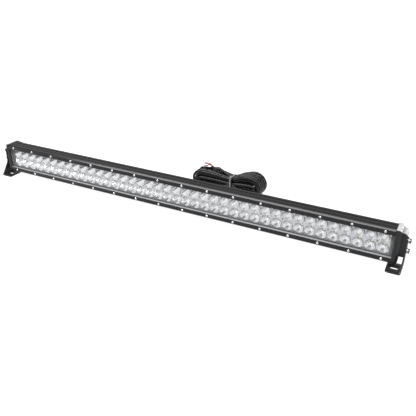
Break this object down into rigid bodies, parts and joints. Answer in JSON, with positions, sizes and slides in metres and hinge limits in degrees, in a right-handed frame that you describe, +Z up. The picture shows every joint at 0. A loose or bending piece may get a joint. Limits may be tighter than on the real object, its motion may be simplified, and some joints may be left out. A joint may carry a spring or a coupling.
{
  "type": "led light bar",
  "caption": "Straight two-row LED light bar with a finned housing, framed lens, end caps, tilting foot brackets and a tied supply cable with ring terminals.",
  "frame": {"origin": "on the surface that the two feet stand on, midway along the bar and midway in its depth from the feet's front edges to the back of the cable gland", "axes": "+X along the bar, to the right for someone facing its lens; -Y is the side that the light leaves; +Z up"},
  "size_m": [1.0922, 0.2224, 0.09],
  "materials": {
    "housing_black": "satin black powder coat on an aluminium extrusion",
    "frame_black": "satin black powder coat with a worn-bright look on its bevel",
    "cap_black": "satin black powder coat on a die casting",
    "bracket_black": "satin black powder coat on bent steel",
    "lens_clear": "clear polycarbonate",
    "reflector_chrome": "vacuum-metallised plastic cups",
    "stainless_steel": "bright stainless steel",
    "dark_screws": "black oxide",
    "seal_rubber": "matt moulded rubber",
    "board_white": "white solder mask",
    "led_yellow": "phosphor under a clear dome",
    "pad_blue": "soft thermal pad",
    "link_copper": "bare copper",
    "board_green": "green solder mask",
    "tinned_brass": "tin plate",
    "component_dark": "moulded epoxy",
    "lead_red": "PVC insulation",
    "gland_black": "moulded nylon",
    "cable_black": "smooth PVC jacket with a slight gloss",
    "tie_grey": "grey nylon tie"
  },
  "bodies": {
    "light_bar": {"housing": "housing_black", "top_frame_strip": "frame_black", "bottom_frame_strip": "frame_black", "top_strip_screws": "stainless_steel", "bottom_strip_screws": "stainless_steel", "lens": "lens_clear", "lens_seal": "seal_rubber", "reflector_1": "reflector_chrome", "reflector_2": "reflector_chrome", "reflector_3": "reflector_chrome", "reflector_4": "reflector_chrome", "reflector_screws": "dark_screws", "led_board_1": "board_white", "led_board_2": "board_white", "led_board_3": "board_white", "led_board_4": "board_white", "led_emitters": "led_yellow", "thermal_pads": "pad_blue", "board_links": "link_copper", "driver_board": "board_green", "driver_stands": "tinned_brass", "driver_coils": "component_dark", "driver_capacitors": "component_dark", "driver_transistors": "component_dark", "driver_leads": "lead_red", "left_end_cap": "cap_black", "right_end_cap": "cap_black", "left_cap_seal": "seal_rubber", "right_cap_seal": "seal_rubber", "left_cap_screws": "stainless_steel", "right_cap_screws": "stainless_steel", "left_pivot_bolt": "stainless_steel", "right_pivot_bolt": "stainless_steel", "left_lock_bolt": "stainless_steel", "right_lock_bolt": "stainless_steel", "left_flat_washers": "stainless_steel", "right_flat_washers": "stainless_steel", "left_spring_washers": "stainless_steel", "right_spring_washers": "stainless_steel", "gland_body": "gland_black", "gland_locknut": "gland_black", "gland_nut": "gland_black", "gland_seal": "seal_rubber", "breather_vent": "gland_black", "cable_boot": "seal_rubber", "supply_cable": "cable_black", "cable_hank": "cable_black", "cable_tie": "tie_grey", "cable_tail": "cable_black", "cable_breakout": "seal_rubber", "red_lead": "lead_red", "black_lead": "cable_black", "red_terminal": "tinned_brass", "black_terminal": "tinned_brass"},
    "left_bracket": {"left_bracket": "bracket_black"},
    "right_bracket": {"right_bracket": "bracket_black"}
  },
  "joints": [
    {"name": "left_bracket_tilt", "type": "hinge", "parent": "light_bar", "child": "left_bracket", "pos_m": [-0.5385, -0.0091, 0.064], "axis": [1, 0, 0], "range_deg": [-25, 5]},
    {"name": "right_bracket_tilt", "type": "hinge", "parent": "light_bar", "child": "right_bracket", "pos_m": [0.5385, -0.0091, 0.064], "axis": [1, 0, 0], "range_deg": [-25, 5]}
  ]
}
